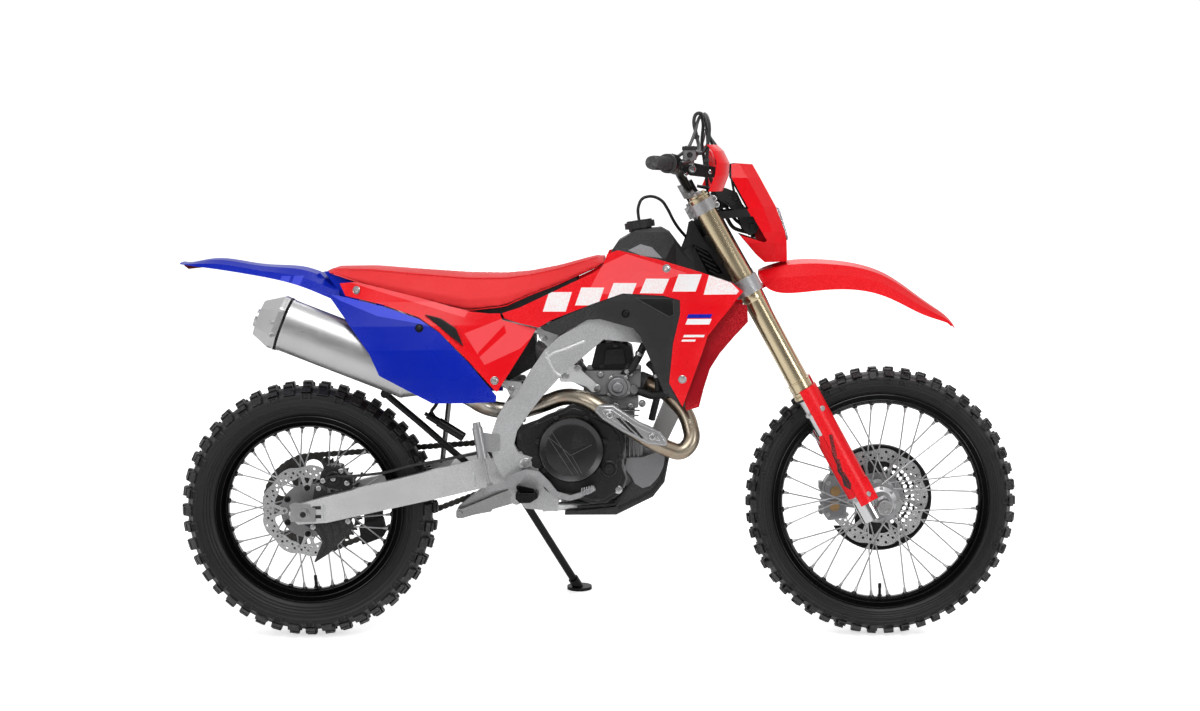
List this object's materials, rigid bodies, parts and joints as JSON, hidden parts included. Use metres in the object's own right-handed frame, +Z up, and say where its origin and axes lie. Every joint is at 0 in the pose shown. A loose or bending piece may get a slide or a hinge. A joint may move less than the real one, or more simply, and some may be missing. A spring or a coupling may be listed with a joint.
{
  "type": "enduro motorcycle",
  "caption": "Off-road motorcycle for trails, parked on its side stand, with spoked wheels, knobbly tyres, upside-down fork and high exhaust.",
  "frame": {"origin": "on the ground at the bottom centre of the whole machine's box, as it leans on its side stand", "axes": "+X forwards along the machine, +Y to the rider's left, towards which it leans, +Z up"},
  "size_m": [2.1673, 0.8428, 1.3592],
  "materials": {
    "black_plastic": "matt",
    "steel": "plated",
    "hose_rubber": "satin",
    "cast_alloy": "sand cast",
    "chain_steel": "dark, oiled",
    "engine_black": "satin black",
    "header_steel": "heat tinted",
    "red_plastic": "gloss",
    "chrome": "hard chrome",
    "gold_alloy": "gold anodised",
    "frame_alloy": "satin",
    "disc_steel": "ground",
    "hub_alloy": "satin",
    "black_rim": "black anodised",
    "spoke_steel": "bright",
    "tyre": "matt rubber",
    "grip_rubber": "matt",
    "lens": "clear",
    "blue_plastic": "gloss",
    "seat_cover": "gripper vinyl",
    "black_steel": "satin black",
    "silencer_alloy": "brushed",
    "red_lens": "clear red"
  },
  "bodies": {
    "root": {"airbox": "black_plastic", "brake_pedal": "steel", "crankcase": "cast_alloy", "cylinder": "cast_alloy", "drive_chain": "chain_steel", "engine_covers": "engine_black", "exhaust_header": "header_steel", "footpegs": "steel", "frame_cradle": "frame_alloy", "fuel_tank": "black_plastic", "gear_lever": "steel", "heat_shield": "steel", "main_frame": "frame_alloy", "number_plates": "blue_plastic", "radiator_shrouds": "red_plastic", "radiators": "cast_alloy", "rear_axle": "steel", "rear_caliper": "engine_black", "rear_fender": "blue_plastic", "seat": "seat_cover", "shock_absorber": "black_steel", "shock_linkage": "steel", "shroud_covers": "black_plastic", "side_panels": "red_plastic", "silencer": "silencer_alloy", "skid_plate": "black_plastic", "subframe": "frame_alloy", "swingarm": "frame_alloy", "swingarm_guards": "black_plastic", "swingarm_pivot": "steel", "tail_light": "red_lens", "throttle_body": "cast_alloy", "vent_hose": "hose_rubber"},
    "steering": {"front_axle": "steel", "fork_tubes": "gold_alloy", "fork_sliders": "chrome", "triple_clamps": "frame_alloy", "fork_guards": "red_plastic", "front_fender": "red_plastic", "headlight_cowl": "red_plastic", "headlight_lens": "lens", "handlebar": "cast_alloy", "grips": "grip_rubber", "hand_guards": "red_plastic", "levers": "steel", "front_caliper": "engine_black", "front_disc_guard": "black_plastic", "control_cables": "hose_rubber"},
    "front_wheel": {"front_tyre": "tyre", "front_rim": "black_rim", "front_spokes": "spoke_steel", "front_hub": "hub_alloy", "front_brake_disc": "disc_steel"},
    "rear_wheel": {"rear_tyre": "tyre", "rear_rim": "black_rim", "rear_spokes": "spoke_steel", "rear_hub": "hub_alloy", "rear_brake_disc": "disc_steel", "rear_sprocket": "disc_steel"},
    "side_stand": {"side_stand": "black_steel"}
  },
  "joints": [
    {"name": "steering", "type": "hinge", "parent": "root", "child": "steering", "pos_m": [0.68029, -0.15333, 0.31655], "axis": [-0.4741, 0.1529, 0.8671], "range_deg": [-42, 42]},
    {"name": "front_wheel_spin", "type": "hinge", "parent": "steering", "child": "front_wheel", "pos_m": [0.734, -0.14831, 0.34503], "axis": [0, 0.9848, -0.1736], "continuous": true},
    {"name": "rear_wheel_spin", "type": "hinge", "parent": "root", "child": "rear_wheel", "pos_m": [-0.749, -0.15083, 0.33075], "axis": [0, 0.9848, -0.1736], "continuous": true},
    {"name": "side_stand", "type": "hinge", "parent": "root", "child": "side_stand", "pos_m": [-0.225, 0.00494, 0.33882], "axis": [0.479, 0.7257, 0.4939], "range_deg": [0, 140.89]}
  ]
}
